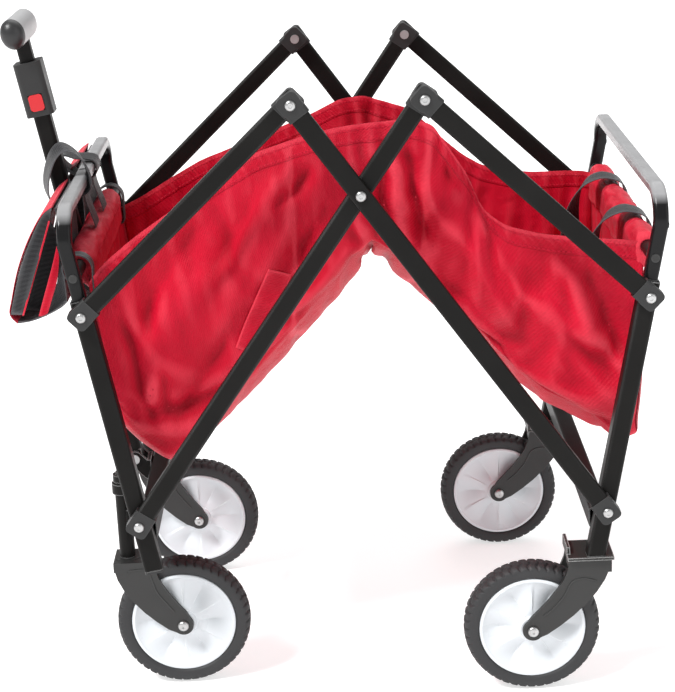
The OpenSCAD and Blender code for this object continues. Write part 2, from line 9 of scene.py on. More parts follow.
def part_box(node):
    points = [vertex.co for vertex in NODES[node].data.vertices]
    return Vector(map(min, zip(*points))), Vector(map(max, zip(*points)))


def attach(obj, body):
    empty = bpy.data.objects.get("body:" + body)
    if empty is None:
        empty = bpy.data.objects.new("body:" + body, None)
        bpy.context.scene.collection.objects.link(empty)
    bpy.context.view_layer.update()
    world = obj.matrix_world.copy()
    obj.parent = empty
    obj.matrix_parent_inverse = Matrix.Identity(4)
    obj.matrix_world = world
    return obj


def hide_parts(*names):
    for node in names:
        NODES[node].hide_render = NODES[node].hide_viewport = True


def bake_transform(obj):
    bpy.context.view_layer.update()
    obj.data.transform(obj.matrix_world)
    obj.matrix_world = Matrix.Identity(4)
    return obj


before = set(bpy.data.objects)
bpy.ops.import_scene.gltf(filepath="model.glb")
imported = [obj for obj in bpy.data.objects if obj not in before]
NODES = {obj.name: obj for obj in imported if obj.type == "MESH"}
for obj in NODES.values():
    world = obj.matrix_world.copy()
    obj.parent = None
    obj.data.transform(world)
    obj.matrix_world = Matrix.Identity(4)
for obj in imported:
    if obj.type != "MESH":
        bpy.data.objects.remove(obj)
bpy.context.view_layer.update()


def middle(node):
    low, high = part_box(node)
    return (low + high) / 2


# ---- where the frame is ----

# Places in the side plane, in millimetres from the scissor pivot's foot
WHEEL_F, WHEEL_R, AXLE_Z = -236, 188, 82
TRACK_F, TRACK_R = 162, 216
HINGE_X, HINGE_Z, GRIP_S = -300, 238, 564
LEAN = math.radians(10.27)
SIDES = (("left", -1), ("right", 1))
# The same in the row frame, in metres
AXLE_R = middle("rear_axles")
AXLE_F = middle("caster_axle_left")
ORIGIN_X = AXLE_R.x - WHEEL_R / 1000
TYRE_R = AXLE_R.z
FRONT_Y, REAR_Y = abs(AXLE_F.y), TRACK_R / 1000
DISC_R = 0.0645


def at(x, y, z):
    """A point in millimetres from the scissor pivot's foot, as a point in the row frame in metres."""
    return Vector((ORIGIN_X + x / 1000, y / 1000, z / 1000))


# ---- camera and light ----

def add_camera():
    yaw, pitch, roll = 0.0012, -0.3128, 0.0418
    turn = (Matrix.Rotation(yaw, 4, "Z") @ Matrix.Rotation(pitch, 4, "X") @ Matrix.Rotation(roll, 4, "Y")
            @ Matrix.Rotation(math.pi / 2, 4, "X"))
    data = bpy.data.cameras.new("camera")
    data.sensor_width = 36
    data.lens = 95.84
    data.clip_end = 300
    obj = bpy.data.objects.new("camera", data)
    bpy.context.scene.collection.objects.link(obj)
    obj.matrix_world = Matrix.Translation(at(-30.2, -2234.1, 1097.4)) @ turn
    bpy.context.scene.camera = obj


def add_sun(name, toward, strength, angle):
    """Soft daylight from that direction; angle in degrees."""
    data = bpy.data.lights.new(name, "SUN")
    data.energy = strength
    data.angle = math.radians(angle)
    obj = bpy.data.objects.new(name, data)
    bpy.context.scene.collection.objects.link(obj)
    obj.rotation_euler = Vector(toward).to_track_quat("Z", "Y").to_euler()


add_camera()
bpy.context.scene.view_settings.view_transform = "Standard"
add_sun("key_sun", (-0.62, -0.5, 1.0), 3.4, 14)
add_sun("side_sun", (0.9, -0.6, 0.35), 0.5, 50)
add_sun("back_sun", (0.1, 0.7, 0.9), 0.9, 50)

world = bpy.data.worlds.new("studio")
world.use_nodes = True
world.node_tree.nodes["Background"].inputs[0].default_value = (1, 1, 1, 1)
world.node_tree.nodes["Background"].inputs[1].default_value = 0.50
bpy.context.scene.world = world


# ---- materials ----

class Mat:
    """A small helper around one node material."""

    def __init__(self, name, colour, rough, metallic=0.0, **sockets):
        self.mat = bpy.data.materials.new(name)
        self.mat.use_nodes = True
        self.tree = self.mat.node_tree
        self.bsdf = self.tree.nodes["Principled BSDF"]
        self.set("Base Color", (*colour, 1))
        self.set("Roughness", rough)
        self.set("Metallic", metallic)
        for key, value in sockets.items():
            self.set(key.replace("_", " "), value)
        self.mat.diffuse_color = (*colour, 1)

    def set(self, socket, value):
        self.bsdf.inputs[socket].default_value = value

    def node(self, kind, links=None, **values):
        n = self.tree.nodes.new(kind)
        for key, value in values.items():
            if hasattr(n, key):
                setattr(n, key, value)
            else:
                n.inputs[key.replace("_", " ")].default_value = value
        for key, out in (links or {}).items():
            self.tree.links.new(out, n.inputs[key])
        return n

    def link(self, out, socket):
        self.tree.links.new(out, self.bsdf.inputs[socket])

    def coords(self):
        return self.node("ShaderNodeTexCoord").outputs["Object"]

    def noise(self, vector, scale, detail=3.0):
        return self.node("ShaderNodeTexNoise", {"Vector": vector}, Scale=scale, Detail=detail).outputs[0]

    def math(self, op, a, b=0.0, c=0.0):
        n = self.tree.nodes.new("ShaderNodeMath")
        n.operation = op
        for i, v in enumerate((a, b, c)):
            if hasattr(v, "is_linked"):
                self.tree.links.new(v, n.inputs[i])
            else:
                n.inputs[i].default_value = v
        return n.outputs[0]

    def times(self, a, b):
        return self.math("MULTIPLY", a, b)

    def remap(self, value, low, high, to_low, to_high):
        n = self.node("ShaderNodeMapRange", {"Value": value})
        for key, v in zip(("From Min", "From Max", "To Min", "To Max"), (low, high, to_low, to_high)):
            n.inputs[key].default_value = v
        return n.outputs[0]

    def ramp(self, value, *stops):
        n = self.node("ShaderNodeValToRGB", {"Fac": value})
        n.color_ramp.elements[0].position, n.color_ramp.elements[0].color = stops[0][0], (*stops[0][1], 1)
        n.color_ramp.elements[1].position, n.color_ramp.elements[1].color = stops[-1][0], (*stops[-1][1], 1)
        for pos, colour in stops[1:-1]:
            n.color_ramp.elements.new(pos).color = (*colour, 1)
        return n.outputs[0]

    def mix(self, fac, a, b):
        n = self.tree.nodes.new("ShaderNodeMix")
        n.data_type = "RGBA"
        for i, v in ((0, fac), (6, a), (7, b)):
            if hasattr(v, "is_linked"):
                self.tree.links.new(v, n.inputs[i])
            else:
                n.inputs[i].default_value = v if i == 0 else (*v, 1)
        return n.outputs[2]

    def bump(self, *layers):
        """Chained bumps, each (height, distance in metres, strength)."""
        normal = None
        for height, distance, strength in layers:
            n = self.node("ShaderNodeBump", {"Height": height}, Distance=distance, Strength=strength)
            if normal:
                self.tree.links.new(normal, n.inputs["Normal"])
            normal = n.outputs[0]
        self.link(normal, "Normal")

    def edges(self, radius):
        """0 on flat faces, towards 1 on the edges: the mask for plastic's edge wear and for painted()'s
        painted edge highlight.
        """
        bevel = self.node("ShaderNodeBevel", Radius=radius).outputs[0]
        face = self.node("ShaderNodeNewGeometry").outputs["Normal"]
        n = self.tree.nodes.new("ShaderNodeVectorMath")
        n.operation = "DOT_PRODUCT"
        self.tree.links.new(bevel, n.inputs[0])
        self.tree.links.new(face, n.inputs[1])
        return self.remap(n.outputs["Value"], 0.992, 0.90, 0.0, 1.0)


def painted(name, colour, rough, coat, edge_glint):
    """Powder-coated or moulded black: orange peel, uneven gloss and a painted highlight along the edges,
    patchy like wear.
    """
    m = Mat(name, colour, rough, Coat_Weight=coat, Coat_Roughness=0.12, Specular_IOR_Level=0.12)
    pos = m.coords()
    cloud = m.noise(pos, 14, 4)
    fine = m.noise(pos, 900, 2)
    # Painted highlight: the edges turn paler in patches, in place of the gleam off the rounded tube edges.
    edge_wear_and_glint = m.times(m.edges(0.0022), m.remap(cloud, 0.3, 0.7, 0.35, 1.0))
    light = tuple(c + edge_glint for c in colour)
    dusty = m.mix(m.remap(cloud, 0.3, 0.75, 0.0, 1.0), colour, tuple(c * 1.5 + 0.002 for c in colour))
    m.link(m.mix(edge_wear_and_glint, dusty, light), "Base Color")
    m.link(m.remap(cloud, 0.3, 0.7, rough - 0.05, rough + 0.09), "Roughness")
    m.bump((fine, 0.0002, 0.25))
    return m.mat


def metal(name, colour, rough, scratch):
    m = Mat(name, colour, rough, 1.0)
    pos = m.coords()
    stretched = m.node("ShaderNodeMapping", {"Vector": pos})
    stretched.inputs["Scale"].default_value = (60, 60, 900)
    lines = m.noise(stretched.outputs[0], 3, 3)
    blotch = m.noise(pos, 60, 3)
    m.link(m.mix(m.remap(blotch, 0.3, 0.7, 0.0, 1.0), colour, tuple(c * 0.78 for c in colour)), "Base Color")
    m.link(m.remap(lines, 0.3, 0.7, rough - 0.06, rough + 0.12), "Roughness")
    m.bump((lines, 0.0002, scratch))
    return m.mat


def plastic(name, colour, rough, grain=0.3):
    m = Mat(name, colour, rough)
    pos = m.coords()
    cloud = m.noise(pos, 22, 3)
    fine = m.noise(pos, 1400, 2)
    edge_wear_and_glint = m.times(m.edges(0.0015), m.remap(cloud, 0.3, 0.7, 0.1, 0.7))
    m.link(m.mix(edge_wear_and_glint, colour, tuple(min(1, c * 1.4 + 0.05) for c in colour)), "Base Color")
    m.link(m.remap(cloud, 0.3, 0.7, rough - 0.06, rough + 0.08), "Roughness")
    m.bump((fine, 0.00025, grain))
    return m.mat


def cloth_material(name, colour, shade, light, pitch=0.0016, sheen=0.10, tint=(1, 0.45, 0.5, 1), hem=0.0):
    """Oxford weave from UV in metres: diagonal ribs over a basket of threads and cloudy colour.
    hem is the depth of the folded and stitched edge, measured by the second UV map."""
    m = Mat(name, colour, 0.62, Sheen_Weight=sheen, Sheen_Roughness=0.4, Sheen_Tint=tint,
            Specular_IOR_Level=0.14)
    uv = m.node("ShaderNodeUVMap", uv_map="cloth").outputs[0]
    part = m.node("ShaderNodeSeparateXYZ", {"Vector": uv})
    u, v = part.outputs[0], part.outputs[1]
    k = 2 * math.pi / pitch
    weave = m.times(*(m.math("SINE", m.times(way, k)) for way in (u, v)))
    rib = m.math("SINE", m.times(m.math("ADD", u, m.times(v, 0.8)), k / 2.6))
    pos = m.coords()
    cloud = m.noise(uv, 9, 4)
    slub = m.noise(uv, 260, 2)
    tone = m.ramp(m.remap(cloud, 0.25, 0.75, 0, 1), (0.0, shade), (0.55, colour), (1.0, light))
    thread = m.remap(m.math("ADD", weave, m.times(rib, 0.8)), -1.8, 1.8, 0.0, 1.0)
    base = m.mix(m.times(thread, 0.42), tone, light)
    # Painted light and shade from the curvature: a painted highlight on the folds' ridges and painted shade
    # in their hollows.
    fold_light_and_shade = m.node("ShaderNodeNewGeometry").outputs["Pointiness"]
    base = m.mix(m.remap(fold_light_and_shade, 0.504, 0.545, 0.0, 0.7), base, tuple(min(1, c * 1.15 + 0.04) for c in light))
    base = m.mix(m.remap(fold_light_and_shade, 0.496, 0.455, 0.0, 0.6), base, tuple(c * 0.55 for c in shade))
    layers = [(m.noise(pos, 14, 3), 0.016, 0.5), (m.noise(pos, 45, 4), 0.004, 0.3),
              (thread, 0.0008, 0.6), (slub, 0.0004, 0.2)]
    if hem:
        edge = m.node("ShaderNodeSeparateXYZ", {"Vector": m.node("ShaderNodeUVMap", uv_map="hem").outputs[0]})
        run, dist = edge.outputs[0], edge.outputs[1]
        dash = m.remap(m.math("SINE", m.times(run, 2 * math.pi / 0.005)), -0.5, -0.2, 0.0, 1.0)
        rows = [m.remap(m.math("ABSOLUTE", m.math("SUBTRACT", dist, d)), 0.0007, 0.0013, 1.0, 0.0)
                for d in (0.006, hem - 0.0025)]
        line = m.math("MAXIMUM", rows[0], rows[1])
        stitch = m.times(line, dash)
        band = m.remap(dist, hem - 0.0004, hem + 0.0008, 1.0, 0.0)
        # Painted shade: a dark line in the crease where the folded band ends; the stitch rows are darkened
        # too.
        crease = m.remap(m.math("ABSOLUTE", m.math("SUBTRACT", dist, hem + 0.0008)), 0.0004, 0.0016, 1.0, 0.0)
        dark = m.math("MAXIMUM", m.times(crease, 0.15), m.times(line, 0.16))
        base = m.mix(dark, base, tuple(c * 0.35 for c in shade))
        base = m.mix(m.times(stitch, 0.6), base, light)
        layers += [(band, 0.0010, 0.9), (stitch, 0.0007, 0.8)]
    m.link(base, "Base Color")
    m.link(m.remap(thread, 0, 1, 0.52, 0.36), "Roughness")
    m.bump(*layers)
    return m.mat


RED, RED_SHADE, RED_LIGHT = (0.52, 0.002, 0.020), (0.42, 0.001, 0.014), (0.64, 0.010, 0.038)
WHITE = (1, 1, 1, 1)
M = {
    # painted()'s last number sets how much paler the painted edge highlight is.
    "steel": painted("steel_black", (0.0046, 0.0042, 0.0038), 0.42, 0.03, 0.34),
    "cap": plastic("cap_plastic", (0.012, 0.012, 0.0122), 0.45),
    "fork": plastic("fork_plastic", (0.020, 0.020, 0.0195), 0.5),
    "bracket": painted("bracket_steel", (0.020, 0.020, 0.019), 0.38, 0.10, 0.5),
    "bolt": metal("bolt_steel", (0.56, 0.56, 0.56), 0.34, 0.2),
    "wheel": plastic("wheel_white", (0.66, 0.69, 0.72), 0.30, 0.12),
    "tyre": plastic("tyre_rubber", (0.024, 0.024, 0.0255), 0.62, 0.5),
    "red": cloth_material("red_fabric", RED, RED_SHADE, RED_LIGHT),
    "hem": cloth_material("red_hem", RED, RED_SHADE, RED_LIGHT, hem=0.021),
    "button": plastic("button_red", (0.60, 0.009, 0.016), 0.38, 0.1),
    "grip": plastic("grip_black", (0.018, 0.018, 0.019), 0.42, 0.4),
    # Pale grey painted reflection on the grip's glossy black body.
    "silver": plastic("grip_silver", (0.38, 0.38, 0.385), 0.36, 0.25),
    "dark": plastic("slot_dark", (0.004, 0.004, 0.004), 0.7, 0.1),
    "webbing": cloth_material("webbing", (0.014, 0.014, 0.015), (0.008, 0.008, 0.009), (0.05, 0.05, 0.055),
                              pitch=0.0022, sheen=0.1, tint=WHITE),
    "black": cloth_material("black_fabric", (0.020, 0.020, 0.022), (0.012, 0.012, 0.013),
                            (0.075, 0.075, 0.08), pitch=0.0024, sheen=0.12, tint=WHITE),
}


def silver_top(node):
    """The hoops' top bars carry a painted reflection, pale grey with painted shade on their undersides, and
    turn black below their corners.
    """
    m = Mat(node + "_black_with_painted_reflection", (0.5, 0.5, 0.5), 0.2, Coat_Weight=0.12, Coat_Roughness=0.14,
            Specular_IOR_Level=0.14)
    obj = NODES[node]
    top = max((obj.matrix_world @ v.co).z for v in obj.data.vertices)
    lift = top - max(v.co.z for v in obj.data.vertices)
    pos = m.coords()
    height = m.node("ShaderNodeSeparateXYZ", {"Vector": pos}).outputs[2]
    wobble = m.times(m.noise(pos, 9, 2), 0.006)
    # Painted reflection: pale grey above a wavy line just under the top.
    pale = m.remap(m.math("ADD", height, wobble), top - lift - 0.016, top - lift - 0.006, 0.0, 1.0)
    fine = m.noise(pos, 700, 2)
    grey = m.mix(m.noise(pos, 25, 3), (0.21, 0.21, 0.215), (0.38, 0.38, 0.385))
    normal = m.node("ShaderNodeNewGeometry").outputs["Normal"]
    facing = m.node("ShaderNodeSeparateXYZ", {"Vector": normal}).outputs[2]
    # Painted shade: faces turned downwards keep little of the painted reflection.
    pale = m.times(pale, m.remap(facing, -0.75, -0.2, 0.15, 1.0))
    m.link(m.mix(pale, (0.008, 0.008, 0.0085), grey), "Base Color")
    m.link(m.remap(m.noise(pos, 14, 3), 0.3, 0.7, 0.16, 0.30), "Roughness")
    m.bump((fine, 0.0002, 0.15))
    obj.data.materials.clear()
    obj.data.materials.append(m.mat)


def dress(key, *nodes):
    for n in nodes:
        obj = NODES[n]
        obj.data.materials.clear()
        obj.data.materials.append(M[key])


dress("steel", "front_posts", "front_upper_bar", "front_lower_bar", "rear_posts", "rear_upper_bar",
      "rear_lower_bar", "front_strut_left", "front_strut_right", "rear_strut_left", "rear_strut_right",
      "front_links", "rear_links", "handle_tube", "handle_inner_tube", "caster_stems", "handle_yoke")
silver_top("front_hoop")
silver_top("rear_hoop")
dress("cap", "front_strut_caps", "rear_strut_caps", "front_link_caps", "rear_link_caps",
      "front_post_plugs", "rear_post_plugs", "handle_collar")
dress("fork", "caster_fork_left", "caster_fork_right", "rear_forks", "front_hoop_screws", "rear_hoop_screws")
dress("bracket", "rear_brackets")
dress("bolt", "front_pivot_bolts", "handle_pivot_bolt", "caster_axle_left", "caster_axle_right", "rear_axles",
      "scissor_bolts", "rear_pivot_bolts", "front_link_bolts", "rear_link_bolts", "button_spring")
dress("button", "handle_button")
dress("grip", "handle_grip")


# ---- mesh helpers ----

def add_mesh(name, verts, faces, material, uv=None, hem=None):
    """A smooth-shaded mesh; uv and hem give each vertex a place in the two UV maps."""
    mesh = bpy.data.meshes.new(name)
    mesh.from_pydata([tuple(v) for v in verts], [], [tuple(int(i) for i in f) for f in faces])
    mesh.validate()
    corner = np.zeros(len(mesh.loops), int)
    mesh.loops.foreach_get("vertex_index", corner)
    for key, values in (("cloth", uv), ("hem", hem)):
        if values is not None:
            layer = mesh.uv_layers.new(name=key)
            layer.data.foreach_set("uv", np.asarray(values, float)[corner].ravel())
    for poly in mesh.polygons:
        poly.use_smooth = True
    mesh.materials.append(M[material])
    obj = bpy.data.objects.new(name, mesh)
    bpy.context.scene.collection.objects.link(obj)
    return obj


def face_outwards(obj, weld=False):
    """Turns every face outwards; weld first joins the points that coincide."""
    bm = bmesh.new()
    bm.from_mesh(obj.data)
    if weld:
        bmesh.ops.remove_doubles(bm, verts=bm.verts, dist=1e-6)
    bmesh.ops.recalc_face_normals(bm, faces=bm.faces)
    bm.to_mesh(obj.data)
    bm.free()


def grid_faces(rows, cols, wrap_rows=False, wrap_cols=False):
    faces = []
    for i in range(rows if wrap_rows else rows - 1):
        for j in range(cols if wrap_cols else cols - 1):
            a, b = i * cols + j, i * cols + (j + 1) % cols
            c, d = ((i + 1) % rows) * cols + (j + 1) % cols, ((i + 1) % rows) * cols + j
            faces.append((a, b, c, d))
    return faces


def to_world(points):
    """Millimetres from the scissor pivot's foot to the row frame in metres."""
    return np.asarray(points, float) / 1000 + np.array([ORIGIN_X, 0, 0])


def spline(points, count, closed=False):
    """An evenly spaced smooth line through the points."""
    pts = np.array(points, float)
    n = len(pts)
    out = []
    for i in range(n if closed else n - 1):
        p0, p1, p2, p3 = (pts[(i + k) % n if closed else min(max(i + k, 0), n - 1)] for k in (-1, 0, 1, 2))
        for t in np.arange(12) / 12:
            out.append(0.5 * (2 * p1 + (p2 - p0) * t + (2 * p0 - 5 * p1 + 4 * p2 - p3) * t * t
                              + (3 * p1 - p0 - 3 * p2 + p3) * t ** 3))
    out = np.array(out + [out[0] if closed else pts[-1]])
    run = np.concatenate([[0], np.cumsum(np.linalg.norm(np.diff(out, axis=0), axis=1))])
    pick = np.linspace(0, run[-1], count, endpoint=not closed)
    return np.stack([np.interp(pick, run, out[:, k]) for k in range(out.shape[1])], 1)


# Half of a band's round-edged cross-section; the other half is the same, turned over
SECTION = [(-0.5, 0.0), (-0.48, 0.42), (-0.42, 0.5), (-0.15, 0.5), (0.15, 0.5), (0.42, 0.5), (0.48, 0.42)]
SECTION += [(-a, -b) for a, b in SECTION]


def strip(name, line, across, width, thick, material, closed=False):
    """A band with round edges along a line of points in millimetres; across is the direction of its width."""
    line = np.asarray(line, float)
    n, k = len(line), len(SECTION)
    across = np.broadcast_to(np.asarray(across, float), line.shape)
    width = np.broadcast_to(np.asarray(width, float), (n,))[:, None, None]
    tangent = np.roll(line, -1, 0) - np.roll(line, 1, 0) if closed else np.gradient(line, axis=0)
    normal = np.cross(tangent, across)
    normal /= np.linalg.norm(normal, axis=1, keepdims=True)
    s = np.array(SECTION)
    points = (line[:, None] + across[:, None] * s[None, :, :1] * width
              + normal[:, None] * s[None, :, 1:] * thick)
    run = np.concatenate([[0], np.cumsum(np.linalg.norm(np.diff(line, axis=0), axis=1))]) / 1000
    uv = np.stack([np.repeat(run, k), (s[None, :, 0] * width[:, :, 0]).ravel() / 1000], 1)
    faces = grid_faces(n, k, closed, True)
    if not closed:
        faces = faces + [tuple(range(k))[::-1], tuple(range((n - 1) * k, n * k))]
    obj = add_mesh(name, to_world(points.reshape(-1, 3)), faces, material, uv=uv)
    face_outwards(obj)
    obj.data.set_sharp_from_angle(angle=math.radians(50))
    return obj


def side_line(path, y, count, closed=False):
    """A smooth line through side-view points, as 3-D points at that depth."""
    flat = spline(path, count, closed)
    return np.stack([flat[:, 0], np.full(len(flat), float(y)), flat[:, 1]], 1)


def cloth_strip(body, name, line, across, width, thick, material, closed=False):
    """A strip that is a sheet of cloth on that body."""
    obj = strip(name, line, across, width, thick, material, closed)
    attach(obj, body)


def lathe(name, centre, out, profile, material, body, around=40):
    """A turned piece along Y: profile is (radius, distance outwards) in millimetres."""
    rows = [[(centre[0] + r * math.cos(a), centre[1] + out * h, centre[2] + r * math.sin(a))
             for r, h in profile] for a in np.arange(around) * 2 * math.pi / around]
    faces = grid_faces(around, len(profile), True, False)
    points = to_world(np.array(rows).reshape(-1, 3))
    obj = add_mesh(name, points, faces, material)
    face_outwards(obj, weld=True)
    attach(obj, body)
    return obj


def smooth_step(x, low, high):
    t = np.clip((np.asarray(x, float) - low) / (high - low), 0, 1)
    return t * t * (3 - 2 * t)


def noise_at(points, scale, seed):
    off = Vector((seed * 3.7, seed * 1.3, seed * 7.1))
    return np.array([noise.noise(Vector(p) * scale + off) for p in points])


# ---- tyres and wheels ----

def tread_height(angle, across):
    """0 on the grooves to 1 on the lugs: small interlocking zigzag blocks over the crown."""
    lugs = 46
    zigzag = abs((across * 1.5) % 2 - 1) * 0.5
    phase = (angle * lugs / (2 * math.pi) + zigzag) % 1.0
    groove = min(phase, 1 - phase)
    ring = min(abs(abs(across) - 0.36), 0.12) / 0.12
    return float(smooth_step(groove, 0.05, 0.17)) * (0.45 + 0.55 * float(smooth_step(ring, 0.15, 0.7)))


def add_tyre(name, x, y, body, node):
    half = 0.015
    around, steps = 368, 30
    rows = []
    for i in range(around):
        a = 2 * math.pi * i / around
        ring = []
        for j in range(steps):
            t = -1 + 2 * j / (steps - 1)
            side = abs(t)
            # Outline from the bead up the side wall and over the crown
            if side > 0.72:
                k = (side - 0.72) / 0.28
                r = TYRE_R - 0.0045 - (TYRE_R - 0.0045 - DISC_R) * k
                w = half * (1.0 - 0.13 * k ** 3) * (0.985 + 0.015 * math.sin(math.pi * k))
            else:
                k = side / 0.72
                r = TYRE_R - 0.0045 * k ** 3.2
                w = half * k * (0.93 + 0.07 * k)
            lug = tread_height(a, t / 0.72 if side < 0.72 else 1.0)
            reach = 1.0 if side < 0.70 else max(0.0, 1 - (side - 0.70) / 0.05)
            r -= 0.0026 * (1 - lug) * reach
            ring.append((x + r * math.cos(a), y + math.copysign(w, t), TYRE_R + r * math.sin(a)))
        rows.append(ring)
    pts = np.array(rows)
    # The inner band closes the ring against the wheel body
    bead = pts[:, [steps - 1, 0], :].copy()
    pts = np.concatenate([pts, bead], axis=1)
    obj = add_mesh(name, pts.reshape(-1, 3), grid_faces(around, steps + 2, True), "tyre")
    face_outwards(obj, weld=True)
    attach(obj, body)
    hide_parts(node)


# The rim's steps: half depth inside each radius
RIM = ((0.0600, 0.0128), (0.0630, 0.0136), (0.0640, 0.0132), (1, 0.0105))


def add_wheel(name, x, y, body, node):
    """White disc with a raised rim, six sunburst petals and a stepped hub, the same on both faces."""
    hub, around = 0.0165, 144
    radii = [0.0042, 0.0085, 0.0135, 0.0145, 0.0165, 0.0180, 0.022, 0.027, 0.032, 0.037, 0.042, 0.047, 0.0515,
             0.0555, 0.0580, 0.0595, 0.0605, 0.0625, 0.0635, DISC_R]
    verts = []
    for i in range(around):
        a = 2 * math.pi * i / around
        petal = abs(((a * 6 / (2 * math.pi)) % 1.0) * 2 - 1)
        swirl = ((a * 6 / (2 * math.pi) + 0.5) % 1.0)
        ring = []
        for r in radii:
            if r <= 0.0145:
                depth = hub - (0.0006 if r < 0.006 else 0)
            elif r <= 0.0180:
                depth = 0.0125
            elif r < 0.0585:
                k = (r - 0.018) / 0.0405
                bowl = math.sin(math.pi * min(1, k)) ** 0.7
                depth = 0.0125 - 0.0030 * bowl - 0.0058 * bowl * petal ** 1.6
                depth -= 0.0020 * (swirl - 0.5) * bowl
            else:
                depth = next(d for limit, d in RIM if r < limit)
            ring.append((r, depth))
        for s, order in ((-1, ring), (1, ring[::-1])):
            for r, depth in order:
                verts.append((x + r * math.cos(a), y + s * depth, TYRE_R + r * math.sin(a)))
    obj = add_mesh(name, verts, grid_faces(around, 2 * len(radii), True, True), "wheel")
    face_outwards(obj)
    obj.data.set_sharp_from_angle(angle=math.radians(38))
    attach(obj, body)
    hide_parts(node)


for side, sign in SIDES:
    for end, ax, track in (("front", AXLE_F.x, FRONT_Y), ("rear", AXLE_R.x, REAR_Y)):
        body = f"wheel_{end}_{side}"
        add_tyre(f"{end}_tyre_treaded_{side}", ax, sign * track, body, f"{end}_tyre_{side}")
        add_wheel(f"{end}_wheel_disc_{side}", ax, sign * track, body, f"{end}_wheel_{side}")


# ---- bag ----

# Stations from the front wall to the rear wall: near hem, far hem and floor edge, each x, z in millimetres
STATIONS = [
    ((-317, 524), (-317, 524), (-296, 350)),
    ((-299, 545), (-290, 536), (-271, 322)),
    ((-260, 576), (-249, 560), (-237, 293)),
    ((-205, 612), (-205, 584), (-207, 322)),
    ((-162, 643), (-160, 600), (-175, 352)),
    ((-115, 669), (-108, 620), (-124, 409)),
    ((-58, 686), (-53, 641), (-66, 468)),
    ((-30, 692), (-18, 658), (-37, 500)),
    ((0, 696), (14, 662), (-8, 541)),
    ((30, 698), (41, 653), (11, 556)),
    ((60, 700), (72, 643), (34, 540)),
    ((84, 692), (96, 622), (72, 504)),
    ((103, 664), (120, 598), (115, 460)),
    ((122, 634), (143, 578), (152, 421)),
    ((139, 592), (168, 562), (182, 392)),
    ((165, 571), (198, 554), (212, 363)),
    ((205, 560), (236, 549), (243, 347)),
    ((255, 553), (278, 549), (276, 322)),
    ((302, 549), (304, 548), (300, 298)),
    ((325, 545), (318, 544), (327, 303)),
]
BAG_Y = 184
SOFT_Y, ROOM = 188, 17
ALONG, DOWN, ACROSS = 150, 34, 52
LAST = 2 * DOWN + ACROSS

# Folds pressed into the near wall before it drapes: two ends as x, z, then height and half width
NEAR_FOLDS = [
    (-195, 590, -262, 470, 9, 22), (-214, 560, -232, 400, -9, 26), (-150, 600, -160, 480, 9, 20),
    (-70, 640, -150, 520, -12, 24), (-205, 455, -250, 345, 9, 18), (-236, 400, -262, 330, -7, 14),
    (-60, 600, -120, 500, 8, 20), (-30, 560, -70, 480, -7, 14),
    (100, 610, 205, 430, 11, 16), (128, 590, 215, 452, -9, 12), (92, 560, 168, 452, -8, 14),
    (66, 600, 110, 500, 8, 14), (200, 545, 270, 400, 8, 20), (235, 520, 290, 420, -8, 18),
    (225, 450, 300, 380, 7, 14), (180, 470, 290, 350, -7, 18), (30, 640, 52, 560, -9, 10),
    (12, 650, 22, 575, 8, 9), (-8, 650, 6, 560, -7, 9), (48, 650, 70, 560, 8, 10),
]
# Sharper creases pressed after the drape
NEAR_CREASES = [
    (-188, 608, -259, 455, -15, 17), (-205, 583, -242, 465, 9, 12), (-94, 641, -168, 467, 15, 20),
    (-56, 645, -95, 604, -12, 11), (-124, 615, -170, 523, -12, 15), (-161, 527, -153, 436, 12, 18),
    (-244, 416, -266, 354, 10, 10), (-244, 416, -236, 363, -9, 9), (-283, 468, -256, 355, -12, 8),
    (-156, 462, -221, 354, -12, 14), (-75, 600, -130, 505, 9, 12), (-40, 600, -75, 540, -9, 11),
    (63, 614, 110, 566, 12, 12), (110, 566, 171, 457, 15, 13), (61, 614, 81, 559, -13, 9),
    (137, 581, 182, 490, 13, 11), (182, 490, 264, 430, 11, 12), (150, 560, 176, 490, -11, 10),
    (220, 539, 269, 435, 13, 14), (269, 435, 300, 397, 11, 8), (190, 484, 292, 353, 8, 12),
    (101, 499, 171, 431, -11, 13), (250, 521, 302, 408, -12, 13), (86, 672, 111, 620, -10, 8),
    (78, 686, 120, 641, 8, 8), (38, 648, 52, 595, 11, 7), (20, 650, 32, 590, -10, 7),
    (4, 650, 12, 590, 7, 6), (56, 660, 66, 610, -9, 7),
]

def along_fold(x, z, x0, z0, x1, z1):
    """How far along a fold each point lies, from 0 to 1, and how far beside it, in millimetres."""
    dx, dz = x1 - x0, z1 - z0
    long = math.hypot(dx, dz)
    return ((x - x0) * dx + (z - z0) * dz) / long ** 2, ((x - x0) * dz - (z - z0) * dx) / long


def resample(points, weights, count):
    """Smoothed points, evenly spaced by weight."""
    points = np.array(points, float)
    fine = np.linspace(0, 1, 801)
    out = np.stack([np.interp(fine, weights, points[:, k]) for k in range(points.shape[1])], 1)
    kernel = np.hanning(35)
    kernel /= kernel.sum()
    padded = np.concatenate([2 * out[0] - out[17:0:-1], out, 2 * out[-1] - out[-2:-19:-1]])
    out = np.stack([np.convolve(padded[:, k], kernel, "valid") for k in range(out.shape[1])], 1)
    pick = np.linspace(0, 1, count)
    return np.stack([np.interp(pick, fine, out[:, k]) for k in range(out.shape[1])], 1)


